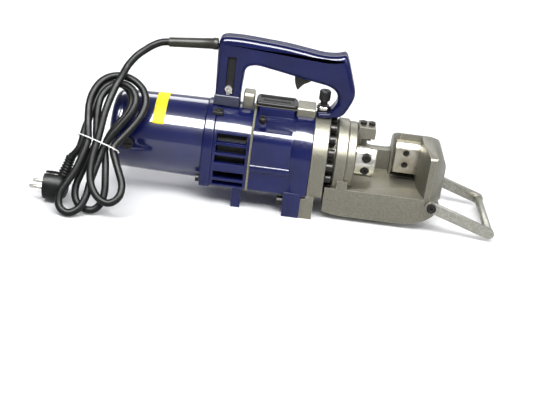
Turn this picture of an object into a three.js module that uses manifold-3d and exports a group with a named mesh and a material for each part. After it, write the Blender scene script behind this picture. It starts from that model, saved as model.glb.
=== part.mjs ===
// Portable electro-hydraulic rebar cutter, modelled in millimetres.
// +X runs from the motor to the cutting head, +Z is up, and the feet stand on z = 0.
import * as THREE from "three";
import { mergeVertices } from "three/addons/utils/BufferGeometryUtils.js";
import Module from "manifold-3d";

const wasm = await Module();
wasm.setup();

// ---------------------------------------------------------------- driving dimensions
const GAP = 0.3; // clearance between touching pieces
const AXIS_Z = 78; // height of the common axis of motor and ram
const MOTOR_REAR_X = -274;
const MOTOR_FRONT_X = -144;
const MOTOR_RADIUS = 57;
const MOTOR_WALL = 6.5;
const RING_FRONT_X = -129;
const FAN_FRONT_X = -79;
const GASKET_FRONT_X = -76;
const GEAR_FRONT_X = 5.7;
const HOUSING_RADIUS = 57.5; // arch radius and half width of the fan and gear housings
const HOUSING_BOTTOM_Z = 30;
const HOUSING_WALL = 6;
const FLANGE_BACK_X = 6;
const FLANGE_FRONT_X = 28;
const NECK_FRONT_X = 56;
const RING_PLATE_FRONT_X = 68;
const BED_TOP_Z = 48.5;
const BED_BACK_X = 31; // the bed's sides reach back past the screw ring
const FRAME_HALF_WIDTH = 53;
const HEAD_FRONT_X = 196;
const RAM_RADIUS = 26;
const RAM_STROKE = 28.5; // the keyway is this much longer than the key needs
const SHEAR_Y = 2.3; // plane in which the two blades pass each other
const MOVING_EDGE_X = 98.5; // cutting edge of the movable blade, ram drawn back
const FIXED_EDGE_X = 126; // cutting edge of the fixed blade
const BAIL_PIVOT_X = 180;
const BAIL_PIVOT_Z = 42;
const BAIL_BAR_X = 266.5;
const BAIL_BAR_Z = 13;
const BAIL_ARM_Y = 55; // inner face of each bail arm
const HANDLE_HALF_WIDTH = 16;
const CORD_DIAMETER = 10;

// ---------------------------------------------------------------- materials
const material = (color, roughness, metalness) =>
  new THREE.MeshStandardMaterial({ color, roughness, metalness });
const BLUE = material(0x1b2158, 0.3, 0.1);
const BLACK = material(0x17181a, 0.55, 0.0);
const CAST = material(0x98968c, 0.6, 0.6);
const STEEL = material(0xb9b8b2, 0.35, 0.9);
const DARK_STEEL = material(0x2c2b2a, 0.45, 0.7);
const BLADE = material(0x8a6b3d, 0.45, 0.7);
const RUBBER = material(0x1e2021, 0.6, 0.0);
const GASKET = material(0x8f8757, 0.8, 0.0);
const COPPER = material(0xa5663a, 0.4, 0.8);

// ---------------------------------------------------------------- geometry helpers
const X_AXIS = new THREE.Vector3(1, 0, 0);
const Y_AXIS = new THREE.Vector3(0, 1, 0);
const Z_AXIS = new THREE.Vector3(0, 0, 1);

// A closed three.js geometry as a solid, with its faces turned outwards.
function solid(geometry) {
  const bare = geometry.clone();
  bare.deleteAttribute("normal");
  bare.deleteAttribute("uv");
  const merged = mergeVertices(bare, 1e-4);
  const points = merged.attributes.position.array;
  const index = merged.index.array;
  const kept = [];
  let volume = 0;
  const corner = (i) => new THREE.Vector3(points[3 * i], points[3 * i + 1], points[3 * i + 2]);
  for (let i = 0; i < index.length; i += 3) {
    const [a, b, c] = [index[i], index[i + 1], index[i + 2]];
    if (a === b || b === c || c === a) continue;
    kept.push(a, b, c);
    volume += corner(a).dot(corner(b).cross(corner(c)));
  }
  if (volume < 0) kept.reverse();
  const vertProperties = new Float32Array(points);
  const triVerts = new Uint32Array(kept);
  return new wasm.Manifold(new wasm.Mesh({ numProp: 3, vertProperties, triVerts }));
}

function geometryOf(body) {
  const { numProp, vertProperties, triVerts } = body.getMesh();
  const positions = new Float32Array((vertProperties.length / numProp) * 3);
  for (let i = 0; i < positions.length / 3; i += 1) {
    for (let k = 0; k < 3; k += 1) positions[3 * i + k] = vertProperties[numProp * i + k];
  }
  const geometry = new THREE.BufferGeometry();
  geometry.setAttribute("position", new THREE.BufferAttribute(positions, 3));
  geometry.setIndex(new THREE.BufferAttribute(new Uint32Array(triVerts), 1));
  geometry.computeVertexNormals();
  return geometry;
}

const join = (...bodies) => bodies.reduce((all, one) => all.add(one));
const cut = (body, ...tools) => tools.reduce((rest, tool) => rest.subtract(tool), body);

function box(x0, x1, y0, y1, z0, z1) {
  const geometry = new THREE.BoxGeometry(x1 - x0, y1 - y0, z1 - z0);
  return solid(geometry.translate((x0 + x1) / 2, (y0 + y1) / 2, (z0 + z1) / 2));
}

// A cylinder from point a to point b.
function rod(a, b, radius, sides = 20, endRadius = radius) {
  const start = new THREE.Vector3(...a);
  const along = new THREE.Vector3(...b).sub(start);
  const geometry = new THREE.CylinderGeometry(endRadius, radius, along.length(), sides);
  geometry.translate(0, along.length() / 2, 0);
  const turn = new THREE.Quaternion().setFromUnitVectors(Y_AXIS, along.clone().normalize());
  return solid(geometry.applyQuaternion(turn).translate(...a));
}

const rodX = (x0, x1, radius, y, z, sides) => rod([x0, y, z], [x1, y, z], radius, sides);
const rodY = (y0, y1, radius, x, z, sides) => rod([x, y0, z], [x, y1, z], radius, sides);
const rodZ = (z0, z1, radius, x, y, sides) => rod([x, y, z0], [x, y, z1], radius, sides);

// A turned piece on the machine's long axis: each point is [x, radius].
function turned(points, sides = 32) {
  const profile = points.map(([x, radius]) => new THREE.Vector2(radius, x));
  const geometry = new THREE.LatheGeometry(profile, sides);
  return solid(geometry.rotateZ(-Math.PI / 2).translate(0, 0, AXIS_Z));
}

// An outline with rounded corners: each point is [u, v, corner radius].
function outline(points) {
  const shape = new THREE.Shape();
  const count = points.length;
  points.forEach(([u, v, radius = 0], i) => {
    const here = new THREE.Vector2(u, v);
    const before = new THREE.Vector2(...points[(i + count - 1) % count].slice(0, 2));
    const after = new THREE.Vector2(...points[(i + 1) % count].slice(0, 2));
    const [back, onward] = [before.sub(here), after.sub(here)];
    const entry = here.clone().add(back.setLength(Math.min(radius, back.length() * 0.45)));
    const exit = here.clone().add(onward.setLength(Math.min(radius, onward.length() * 0.45)));
    if (i === 0) shape.moveTo(entry.x, entry.y);
    else shape.lineTo(entry.x, entry.y);
    if (radius > 0) shape.quadraticCurveTo(here.x, here.y, exit.x, exit.y);
  });
  shape.closePath();
  return shape;
}

function circle(radius, u = 0, v = 0) {
  const shape = new THREE.Shape();
  shape.absarc(u, v, radius, 0, 2 * Math.PI, false);
  return shape;
}

// The housing section in the YZ plane: a half round top on straight sides.
function arch(radius, bottom, corner = 6) {
  const shape = new THREE.Shape();
  shape.moveTo(radius, AXIS_Z);
  shape.absarc(0, AXIS_Z, radius, 0, Math.PI, false);
  shape.lineTo(-radius, bottom + corner);
  shape.quadraticCurveTo(-radius, bottom, -radius + corner, bottom);
  shape.lineTo(radius - corner, bottom);
  shape.quadraticCurveTo(radius, bottom, radius, bottom + corner);
  shape.closePath();
  return shape;
}

function extruded(shape, low, high, axes, segments, bevel) {
  const options = { depth: high - low, bevelEnabled: false, curveSegments: segments };
  if (bevel > 0) {
    Object.assign(options, { depth: high - low - 2 * bevel, bevelEnabled: true });
    Object.assign(options, { bevelThickness: bevel, bevelSize: bevel, bevelOffset: -bevel });
    Object.assign(options, { bevelSegments: 1 });
  }
  const geometry = new THREE.ExtrudeGeometry(shape, options).translate(0, 0, low + bevel);
  return solid(geometry.applyMatrix4(new THREE.Matrix4().makeBasis(...axes)));
}

const FACING_X = [Y_AXIS, Z_AXIS, X_AXIS];
const FACING_Y = [Z_AXIS, X_AXIS, Y_AXIS];
const FACING_Z = [X_AXIS, Y_AXIS, Z_AXIS];
const prismX = (shape, x0, x1, segments = 12, bevel = 0) =>
  extruded(shape, x0, x1, FACING_X, segments, bevel);
const prismZ = (shape, z0, z1, segments = 12, bevel = 0) =>
  extruded(shape, z0, z1, FACING_Z, segments, bevel);
// Side outlines are written as [x, z]; the extrusion along Y takes them as [z, x].
const prismY = (points, y0, y1, segments = 4, bevel = 0) => {
  const swapped = points.map(([x, z, radius]) => [z, x, radius]).reverse();
  return extruded(outline(swapped), y0, y1, FACING_Y, segments, bevel);
};

// A box between two distances from the middle plane, on the near (-1) or the far (1) side.
function sideBox(side, x0, x1, inner, outer, z0, z1) {
  const [y0, y1] = [side * inner, side * outer].sort((a, b) => a - b);
  return box(x0, x1, y0, y1, z0, z1);
}

// A socket cap screw whose head faces along `direction` and seats at `seat`.
function capScrew(seat, direction, headRadius, headHeight, shankRadius, shankLength) {
  const at = new THREE.Vector3(...seat);
  const out = new THREE.Vector3(...direction);
  const point = (distance) => at.clone().addScaledVector(out, distance).toArray();
  const head = rod(point(0), point(headHeight), headRadius, 14);
  const shank = rod(point(-shankLength), point(0.5), shankRadius, 8);
  const socket = rod(point(headHeight * 0.4), point(headHeight + 1), headRadius * 0.52, 6);
  return cut(join(head, shank), socket);
}

const model = new THREE.Group();
function place(name, body, look) {
  const mesh = new THREE.Mesh(geometryOf(body), look);
  mesh.name = name;
  model.add(mesh);
}

// ---------------------------------------------------------------- motor
const BRUSH_X = MOTOR_REAR_X + 28;
const BRUSH_RADIUS = 8.5;
const END_CAP_FRONT_X = MOTOR_REAR_X + 16;
const COMMUTATOR_X = MOTOR_REAR_X + 17;
const STATOR_X = [BRUSH_X + 12, -170];
const ROTOR_RADIUS = 33;
const BEARING_RADIUS = 13;
const SHAFT_RADIUS = 6;

function motorHousing() {
  const bore = MOTOR_RADIUS - MOTOR_WALL;
  const shell = turned([
    [END_CAP_FRONT_X + GAP, bore], [END_CAP_FRONT_X + GAP, MOTOR_RADIUS - 2],
    [MOTOR_FRONT_X - GAP, MOTOR_RADIUS], [MOTOR_FRONT_X - GAP, bore],
    [END_CAP_FRONT_X + GAP, bore],
  ], 36);
  return cut(shell, rodY(-70, 70, BRUSH_RADIUS + GAP, BRUSH_X, AXIS_Z, 16));
}

function motorEndCap() {
  const rim = MOTOR_RADIUS - 2;
  const shell = turned([
    [MOTOR_REAR_X, 0], [MOTOR_REAR_X, rim - 11], [MOTOR_REAR_X + 2.5, rim - 5],
    [MOTOR_REAR_X + 8, rim - 1], [END_CAP_FRONT_X, rim], [END_CAP_FRONT_X, rim - 5],
    [MOTOR_REAR_X + 5, rim - 8], [MOTOR_REAR_X + 5, BEARING_RADIUS + 4],
    [MOTOR_REAR_X + 14, BEARING_RADIUS + 4], [MOTOR_REAR_X + 14, BEARING_RADIUS + GAP],
    [MOTOR_REAR_X + 3, BEARING_RADIUS + GAP], [MOTOR_REAR_X + 3, 0],
  ]);
  const slots = [];
  for (let i = 0; i < 8; i += 1) {
    const slot = box(MOTOR_REAR_X - 1, MOTOR_REAR_X + 6, -2.5, 2.5, 24, 40);
    slots.push(slot.rotate([22.5 + i * 45, 0, 0]).translate([0, 0, AXIS_Z]));
  }
  return cut(shell, ...slots);
}

const motorFlangeOuter = arch(HOUSING_RADIUS + 1, HOUSING_BOTTOM_Z - 3, 8);
function motorFlange() {
  const plate = prismX(motorFlangeOuter, MOTOR_FRONT_X, RING_FRONT_X - GAP, 10, 1.5);
  const bore = MOTOR_RADIUS - MOTOR_WALL;
  return cut(plate, rodX(MOTOR_FRONT_X - 1, RING_FRONT_X + 1, bore, 0, AXIS_Z, 28));
}

function armature() {
  const shaft = turned([
    [MOTOR_REAR_X + 3.5, 0], [MOTOR_REAR_X + 3.5, SHAFT_RADIUS], [STATOR_X[0] - 2, SHAFT_RADIUS],
    [STATOR_X[0] - 2, ROTOR_RADIUS], [STATOR_X[1] + 2, ROTOR_RADIUS], [STATOR_X[1] + 2, SHAFT_RADIUS],
    [-68, SHAFT_RADIUS], [-68, 4.5], [-56, 4.5], [-56, 0],
  ], 24);
  const commutator = rodX(COMMUTATOR_X, COMMUTATOR_X + 16, 16, 0, AXIS_Z, 20);
  return join(shaft, commutator, gear(PINION_TEETH, GEAR_MODULE, -67, -57, 0, AXIS_Z, 0));
}

function statorRing() {
  const [inner, outer] = [ROTOR_RADIUS + 1.5, MOTOR_RADIUS - MOTOR_WALL - GAP];
  const [rear, front] = STATOR_X;
  return turned([[rear, inner], [rear, outer], [front, outer], [front, inner], [rear, inner]], 32);
}

function coolingFan() {
  const hub = rodX(-120, -104, 12, 0, AXIS_Z, 20);
  const disc = rodX(-107, -104, 40.5, 0, AXIS_Z, 32);
  const vanes = [];
  for (let i = 0; i < 9; i += 1) {
    const vane = box(-118, -106, -1.2, 1.2, 10, 40).rotate([i * 40, 0, 0]);
    vanes.push(vane.translate([0, 0, AXIS_Z]));
  }
  const wheel = join(hub, disc, ...vanes);
  return cut(wheel, rodX(-125, -100, SHAFT_RADIUS + GAP, 0, AXIS_Z, 24));
}

const bearing = (x0, x1) => turned([
  [x0, SHAFT_RADIUS + GAP], [x0, BEARING_RADIUS], [x1, BEARING_RADIUS],
  [x1, SHAFT_RADIUS + GAP], [x0, SHAFT_RADIUS + GAP],
], 24);

// ---------------------------------------------------------------- gear train and pump
const GEAR_MODULE = 1.0;
const PINION_TEETH = 12;
const DRIVEN_TEETH = 42;
const DRIVEN_Y = (GEAR_MODULE * (PINION_TEETH + DRIVEN_TEETH)) / 2;
const ECCENTRIC_RADIUS = 11;
const ECCENTRIC_OFFSET = 3;
const PLUNGER_X = -50;

// A spur gear on an X axis; `phase` turns it by a part of a tooth.
function gear(teeth, module, x0, x1, y, z, phase) {
  const shape = new THREE.Shape();
  const pitch = (module * teeth) / 2;
  const [root, tip] = [pitch - 1.2 * module, pitch + 0.75 * module];
  const radii = [root, tip, tip, root];
  const places = [-0.27, -0.11, 0.11, 0.27]; // along the pitch, one tooth being 1
  for (let tooth = 0; tooth < teeth; tooth += 1) {
    radii.forEach((radius, k) => {
      const angle = ((tooth + places[k] + phase) * 2 * Math.PI) / teeth;
      const [u, v] = [y + radius * Math.cos(angle), z + radius * Math.sin(angle)];
      if (tooth === 0 && k === 0) shape.moveTo(u, v);
      else shape.lineTo(u, v);
    });
  }
  shape.closePath();
  return prismX(shape, x0, x1);
}

function driveGear() {
  const wheel = gear(DRIVEN_TEETH, GEAR_MODULE, -66, -58, DRIVEN_Y, AXIS_Z, 0.5);
  const shaft = rodX(-67.5, -38, 5, DRIVEN_Y, AXIS_Z, 16);
  const eccentric = rodX(-55, -44, ECCENTRIC_RADIUS, DRIVEN_Y, AXIS_Z + ECCENTRIC_OFFSET, 24);
  return join(wheel, shaft, eccentric);
}

const PLUNGER_TOP_Z = AXIS_Z - ECCENTRIC_RADIUS - ECCENTRIC_OFFSET - 0.6;
const PLUNGER_BOTTOM_Z = 43;
const pumpPlunger = () => rodZ(PLUNGER_BOTTOM_Z, PLUNGER_TOP_Z, 5, PLUNGER_X, DRIVEN_Y, 16);

function pumpBlock() {
  const block = box(-57.4, -42.6, 14, 40, HOUSING_BOTTOM_Z + HOUSING_WALL + GAP, 60);
  return cut(block, rodZ(38, 61, 5 + GAP, PLUNGER_X, DRIVEN_Y, 16));
}

// ---------------------------------------------------------------- housings
// Lower and upper edge of each air slot; the third bar from the top is the broad one.
const AIR_SLOTS = [[34.5, 40.5], [44.5, 54.5], [67, 78], [81.5, 92.5], [96, 107]];

function fanHousing() {
  const outer = prismX(arch(HOUSING_RADIUS, HOUSING_BOTTOM_Z), RING_FRONT_X, FAN_FRONT_X - GAP, 10);
  const cavity = prismX(arch(HOUSING_RADIUS - HOUSING_WALL, HOUSING_BOTTOM_Z + HOUSING_WALL, 3),
    RING_FRONT_X + 4, FAN_FRONT_X + 1, 8);
  const inlet = rodX(RING_FRONT_X - 1, RING_FRONT_X + 5, 46, 0, AXIS_Z, 28);
  const slots = [];
  for (const [z0, z1] of AIR_SLOTS) {
    for (const side of [-1, 1]) {
      slots.push(sideBox(side, RING_FRONT_X + 3.5, FAN_FRONT_X - 4, 42, 70, z0, z1));
    }
  }
  const feet = [-1, 1].map((side) => sideBox(side, -97, -84, 36, 51, 0, HOUSING_BOTTOM_Z + 3));
  return join(cut(outer, cavity, inlet, ...slots), ...feet);
}

function gasket() {
  const sheet = prismX(arch(HOUSING_RADIUS + 0.8, HOUSING_BOTTOM_Z - 1), FAN_FRONT_X, GASKET_FRONT_X, 10);
  const opening = prismX(arch(HOUSING_RADIUS - HOUSING_WALL, HOUSING_BOTTOM_Z + HOUSING_WALL, 3),
    FAN_FRONT_X - 1, GASKET_FRONT_X + 1, 8);
  return cut(sheet, opening);
}

const COVER_PAD_Z = 142;
const COVER = { x0: -78, x1: -21, halfWidth: 17, top: 147.5 };
const COVER_PAD_HALF_WIDTH = 23;

function gearHousing() {
  const rear = GASKET_FRONT_X + GAP;
  const outer = prismX(arch(HOUSING_RADIUS, HOUSING_BOTTOM_Z), rear, GEAR_FRONT_X, 10);
  const frontRim = prismX(arch(HOUSING_RADIUS + 1.5, HOUSING_BOTTOM_Z), -19, GEAR_FRONT_X, 10);
  const pad = box(-72, -24, -COVER_PAD_HALF_WIDTH, COVER_PAD_HALF_WIDTH, 110, COVER_PAD_Z);
  const panels = [-1, 1].map((side) => prismX(outline([
    [side * 50, 62], [side * 59.5, 62, 2], [side * 59.5, 108, 5], [side * 52, 119, 2], [side * 30, 119],
  ]), rear, -23, 3));
  const ribs = [-1, 1].map((side) => rodX(rear, -22, 5.5, side * 56.5, 66, 12));
  const feet = [-1, 1].map((side) => sideBox(side, -24.5, -0.5, 38, 61, 0, HOUSING_BOTTOM_Z + 6));
  const inside = arch(HOUSING_RADIUS - HOUSING_WALL, HOUSING_BOTTOM_Z + HOUSING_WALL, 3);
  const cavity = prismX(inside, -70, -3, 8);
  const body = cut(join(outer, frontRim, pad, ...panels, ...ribs), cavity);
  const seat = rodX(rear - 1, -69, BEARING_RADIUS + GAP, 0, AXIS_Z, 24);
  const barrelHole = rodX(-4, GEAR_FRONT_X + 1, BARREL_RADIUS + GAP, 0, AXIS_Z, 28);
  const plugHole = rod([-66, -34, 132], [-66, -26, 112], 5 + GAP, 12);
  return join(cut(body, seat, barrelHole, plugHole), ...feet);
}

function fillerPlug() {
  const stem = rod([-66, -34, 132], [-66, -28.4, 118], 5, 12);
  const socket = rod([-66, -34.8, 134], [-66, -32.8, 129], 2.8, 6);
  return cut(stem, socket);
}

// Round-topped vent post on the fan housing, close in front of the handle's rear post.
function ventPost() {
  const face = outline([[-13, 120], [13, 120], [13, 157, 9], [-13, 157, 9]]);
  const post = prismX(face, -96.5, -81, 5, 1.5);
  return cut(post, rodX(-130, -60, HOUSING_RADIUS + GAP, 0, AXIS_Z, 36));
}

function reservoirCover() {
  const { x0, x1, halfWidth, top } = COVER;
  const plate = prismZ(outline([
    [x0, -halfWidth, 5], [x1, -halfWidth, 5], [x1, halfWidth, 5], [x0, halfWidth, 5],
  ]), COVER_PAD_Z + GAP, top, 3, 1.2);
  const tray = box(x0 + 5, x1 - 5, -halfWidth + 4.5, halfWidth - 4.5, top - 2, top + 1);
  const centreRib = box(x0 + 9, x1 - 9, -2.5, 2.5, top - 2.5, top - 0.2);
  return join(cut(plate, tray), centreRib);
}

// ---------------------------------------------------------------- hydraulic cylinder and its ram
const BARREL_RADIUS = 34;
const PISTON_RADIUS = 29;
const PISTON_BACK_X = -25.5;
const SCREW_CIRCLE = 49;
const FLANGE_SCREWS = 8;
const screwAngle = (i) => ((i + 0.5) * 2 * Math.PI) / FLANGE_SCREWS;

function cylinderFlange() {
  const face = arch(HOUSING_RADIUS + 0.5, HOUSING_BOTTOM_Z + 2);
  const plate = prismX(face, FLANGE_BACK_X, FLANGE_FRONT_X, 10, 1.2);
  const barrel = rodX(PISTON_BACK_X - 5.5, FLANGE_BACK_X + 2, BARREL_RADIUS, 0, AXIS_Z, 28);
  const feet = [-1, 1].map((side) => cut(
    sideBox(side, GAP - 0.5, 17.5, 38, 60, 0, HOUSING_BOTTOM_Z + 4),
    sideBox(side, -1, FLANGE_BACK_X - 0.001, 37, 62, HOUSING_BOTTOM_Z - GAP, 40),
  ));
  const bore = rodX(PISTON_BACK_X - GAP, FLANGE_FRONT_X + 1, PISTON_RADIUS + GAP, 0, AXIS_Z, 28);
  const holes = [];
  for (let i = 0; i < FLANGE_SCREWS; i += 1) {
    const y = SCREW_CIRCLE * Math.cos(screwAngle(i));
    const z = AXIS_Z + SCREW_CIRCLE * Math.sin(screwAngle(i));
    holes.push(rodX(16, FLANGE_FRONT_X + 1, 4.3 + GAP, y, z, 8));
  }
  return cut(join(plate, barrel, ...feet), bore, ...holes);
}

function flangeScrew(i) {
  const y = SCREW_CIRCLE * Math.cos(screwAngle(i));
  const z = AXIS_Z + SCREW_CIRCLE * Math.sin(screwAngle(i));
  return capScrew([FLANGE_FRONT_X + GAP, y, z], [1, 0, 0], 6.2, 9, 4, 10);
}

const BLADE_SCREW_X = 84;
const BLADE_SCREW_Z = [AXIS_Z - 9.5, AXIS_Z + 9.5];
const TONGUE_BACK_Y = -13.7; // face of the ram's tongue that carries the movable blade

function ram() {
  const rodBody = turned([
    [PISTON_BACK_X, 0], [PISTON_BACK_X, PISTON_RADIUS], [-15.5, PISTON_RADIUS], [-15.5, 21.5],
    [30.3, 21.5], [30.3, RAM_RADIUS], [MOVING_EDGE_X - 2, RAM_RADIUS], [MOVING_EDGE_X - 2, 0],
  ]);
  const halfCut = box(69, MOVING_EDGE_X + 5, TONGUE_BACK_Y, 40, 40, 120);
  const keyway = box(66.5 - RAM_STROKE, 75, -5.5, 5.5, AXIS_Z + 22, AXIS_Z + 30);
  const screwHoles = BLADE_SCREW_Z.map((z) => join(
    rodY(-40, TONGUE_BACK_Y + 1, 3.3 + GAP, BLADE_SCREW_X, z, 12),
    rodY(-40, -19.5, 6.5, BLADE_SCREW_X, z, 16),
  ));
  return cut(rodBody, halfCut, keyway, ...screwHoles);
}

function movableBlade() {
  const blade = box(71, MOVING_EDGE_X, TONGUE_BACK_Y + GAP, SHEAR_Y - 0.2, 61, 95);
  return cut(blade, ...BLADE_SCREW_Z.map((z) => rodY(-20, -4, 3.3 + GAP, BLADE_SCREW_X, z, 12)));
}

const movableBladeScrew = (z) => capScrew([BLADE_SCREW_X, -19.8, z], [0, -1, 0], 5.6, 5.5, 3.3, 14);

function returnSpring() {
  class Helix extends THREE.Curve {
    getPoint(t) {
      const angle = t * 4 * 2 * Math.PI;
      return new THREE.Vector3(15.6 + t * 10.6, 25.4 * Math.cos(angle), AXIS_Z + 25.4 * Math.sin(angle));
    }
  }
  const wire = circle(1.15);
  return solid(new THREE.ExtrudeGeometry(wire, { steps: 44, curveSegments: 3, extrudePath: new Helix() }));
}

// ---------------------------------------------------------------- cutting head
const THROAT_LEFT_X = 86;
const THROAT_BOTTOM_Z = 79;
const WALL_Y = 37; // near face of the frame's far wall
const STOPPER_Y = 46;
const STOPPER_Z = 97;

// Plan and side outlines of the anvil, whose shape is where they meet.
function anvil() {
  const plan = prismZ(outline([
    [122, FRAME_HALF_WIDTH], [122, 21], [131, 21], [131, SHEAR_Y + 16.6], [160.5, SHEAR_Y + 16.6],
    [160.5, -12], [169, -FRAME_HALF_WIDTH], [177, -FRAME_HALF_WIDTH], [HEAD_FRONT_X, -22],
    [HEAD_FRONT_X, FRAME_HALF_WIDTH - 14, 8], [184, FRAME_HALF_WIDTH],
  ]), 40, 130, 3);
  const side = prismY([
    [120, 40], [122, 108, 3], [128, 116, 4], [168, 116.5, 8], [188, 106, 8], [HEAD_FRONT_X, 92, 10],
    [HEAD_FRONT_X, 40],
  ], -60, 60, 3);
  const front = prismX(outline([
    [-FRAME_HALF_WIDTH, 40], [FRAME_HALF_WIDTH, 40], [FRAME_HALF_WIDTH, 98, 6], [20, 116.5, 8],
    [-27, 116.5, 6], [-FRAME_HALF_WIDTH, 110, 4],
  ]), 110, 200, 3);
  return plan.intersect(side).intersect(front);
}

const NECK_RADIUS = 38;
function cutterFrame() {
  const neck = rodX(FLANGE_FRONT_X + GAP, 41, NECK_RADIUS, 0, AXIS_Z, 28);
  const neckDisc = turned([
    [39, 0], [39, 51], [41, 53], [NECK_FRONT_X - 2, 53], [NECK_FRONT_X, 51], [NECK_FRONT_X, 0],
  ]);
  const bed = prismY([
    [BED_BACK_X, 12, 3], [BED_BACK_X, BED_TOP_Z], [188, BED_TOP_Z], [193, 42, 4], [188, 27, 8],
    [172, 14, 8], [150, 8, 10], [50, 8, 10],
  ], -FRAME_HALF_WIDTH, FRAME_HALF_WIDTH, 3);
  const farWall = prismY([
    [50, BED_TOP_Z - 2], [50, 106, 6], [72, 112, 6], [THROAT_LEFT_X, 111, 4],
    [THROAT_LEFT_X, THROAT_BOTTOM_Z, 7], [126, THROAT_BOTTOM_Z, 12], [126, 100], [140, 100],
    [140, BED_TOP_Z - 2],
  ], WALL_Y, FRAME_HALF_WIDTH, 3);
  const lug = box(47, 61, -FRAME_HALF_WIDTH, -FRAME_HALF_WIDTH + 8, BED_TOP_Z - 1, 60);
  const body = join(neck, neckDisc, bed, farWall, anvil(), lug);
  const bore = rodX(FLANGE_FRONT_X - 1, NECK_FRONT_X + 1, RAM_RADIUS + 0.4, 0, AXIS_Z, 32);
  const [seatBack, seatFront] = [NECK_FRONT_X - 0.001, RING_PLATE_FRONT_X + GAP];
  const ringSeat = box(seatBack, seatFront, -WALL_Y + GAP, WALL_Y - GAP, BED_TOP_Z + GAP, 140);
  const plateRoom = rodX(seatBack, seatFront, RING_PLATE_RADIUS + GAP, 0, AXIS_Z, 32);
  const roomAboveBed = plateRoom.intersect(box(50, 75, -60, 60, BED_TOP_Z, 140));
  const stopperHole = rodX(70, 90, 5 + GAP, STOPPER_Y, STOPPER_Z, 14);
  const pivotHole = rodY(-60, 60, 4 + GAP, BAIL_PIVOT_X, BAIL_PIVOT_Z, 14);
  const bladeHoles = BLADE_HOLE_Z.map((z) => rodY(10, 36, 3.3 + GAP, FIXED_SCREW_X, z, 12));
  const headRoom = cut(
    rodX(FLANGE_FRONT_X, FLANGE_FRONT_X + 10.8, 60, 0, AXIS_Z, 28),
    rodX(FLANGE_FRONT_X - 1, FLANGE_FRONT_X + 12, NECK_RADIUS, 0, AXIS_Z, 28),
  );
  const underBlade = box(FIXED_EDGE_X - 1, 160.2, SHEAR_Y + 16, 34, BED_TOP_Z + 0.5, 60);
  const rooms = [ringSeat, roomAboveBed, headRoom, underBlade];
  return cut(body, bore, ...rooms, stopperHole, pivotHole, ...bladeHoles);
}

const RING_PLATE_RADIUS = 50;
function ringPlate() {
  const plate = turned([
    [NECK_FRONT_X + GAP, RAM_RADIUS + 0.4], [NECK_FRONT_X + GAP, RING_PLATE_RADIUS],
    [RING_PLATE_FRONT_X - 2, RING_PLATE_RADIUS], [RING_PLATE_FRONT_X, RING_PLATE_RADIUS - 2],
    [RING_PLATE_FRONT_X, RAM_RADIUS + 0.4], [NECK_FRONT_X + GAP, RAM_RADIUS + 0.4],
  ]);
  return cut(plate, box(50, 75, -60, 60, 0, BED_TOP_Z + 2 * GAP));
}

// The key that keeps the ram from turning, clamped on the ring plate's front.
function keyBlock() {
  const block = prismY([
    [RING_PLATE_FRONT_X + GAP, 113], [92, 113, 2], [92, 129, 3], [RING_PLATE_FRONT_X + GAP, 129, 1],
  ], -15, 15, 3);
  const tongue = box(RING_PLATE_FRONT_X + GAP, 74, -5, 5, AXIS_Z + 23, 114);
  const holes = KEY_SCREW_X.map((x) => rodZ(118, 131, 2.5 + GAP, x, 0, 10));
  return cut(join(block, tongue), ...holes);
}
const KEY_SCREW_X = [74, 86];
const keyScrew = (x) => capScrew([x, 0, 129 + GAP], [0, 0, 1], 4.6, 4, 2.5, 9);

const FIXED_SCREW_X = 141;
const BLADE_HOLE_Z = [74, 92];
function fixedBlade() {
  const y0 = SHEAR_Y + 0.2;
  const y1 = SHEAR_Y + 16.3;
  const section = outline([[y0, 62], [y1, 62], [y1, 106], [y0 + 7, 106, 2], [y0, 98, 5]]);
  const block = prismX(section, FIXED_EDGE_X, 160.2, 3);
  const holes = BLADE_HOLE_Z.map((z) => join(
    rodY(0, 30, 3.3 + GAP, FIXED_SCREW_X, z, 12),
    rodY(0, y0 + 7, 4.6 + GAP, FIXED_SCREW_X, z, 16),
  ));
  return cut(block, ...holes);
}
const fixedBladeScrew = (z) => capScrew([FIXED_SCREW_X, SHEAR_Y + 6.9, z], [0, -1, 0], 4.5, 4.5, 3.3, 18);

function barStopper() {
  const disc = rodX(THROAT_LEFT_X + 0.5, THROAT_LEFT_X + 5.5, 9.5, STOPPER_Y, STOPPER_Z, 24);
  const stem = rodX(71, THROAT_LEFT_X + 1, 5, STOPPER_Y, STOPPER_Z, 14);
  const slot = box(THROAT_LEFT_X + 3.5, THROAT_LEFT_X + 6, STOPPER_Y - 1.2, STOPPER_Y + 1.2, 80, 110);
  return cut(join(disc, stem), slot);
}

// ---------------------------------------------------------------- front carrying bail
const BAIL_THICKNESS = 6;
function bailArm(side) {
  const [inner, outer] = [side * BAIL_ARM_Y, side * (BAIL_ARM_Y + BAIL_THICKNESS)];
  const [y0, y1] = [Math.min(inner, outer), Math.max(inner, outer)];
  const run = new THREE.Vector2(BAIL_BAR_X - BAIL_PIVOT_X, BAIL_BAR_Z - BAIL_PIVOT_Z);
  const across = new THREE.Vector2(-run.y, run.x).setLength(7.5);
  const strip = prismY([
    [BAIL_PIVOT_X + across.x, BAIL_PIVOT_Z + across.y], [BAIL_BAR_X + across.x, BAIL_BAR_Z + across.y],
    [BAIL_BAR_X - across.x, BAIL_BAR_Z - across.y], [BAIL_PIVOT_X - across.x, BAIL_PIVOT_Z - across.y],
  ], y0, y1);
  const ends = [[BAIL_PIVOT_X, BAIL_PIVOT_Z], [BAIL_BAR_X, BAIL_BAR_Z]].map(([x, z]) =>
    rodY(y0, y1, 7.5, x, z, 24));
  return cut(join(strip, ...ends), rodY(y0 - 1, y1 + 1, 4 + GAP, BAIL_PIVOT_X, BAIL_PIVOT_Z, 14));
}

const bailCrossBar = () => rodY(-BAIL_ARM_Y + GAP, BAIL_ARM_Y - GAP, 6, BAIL_BAR_X, BAIL_BAR_Z, 20);

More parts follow.
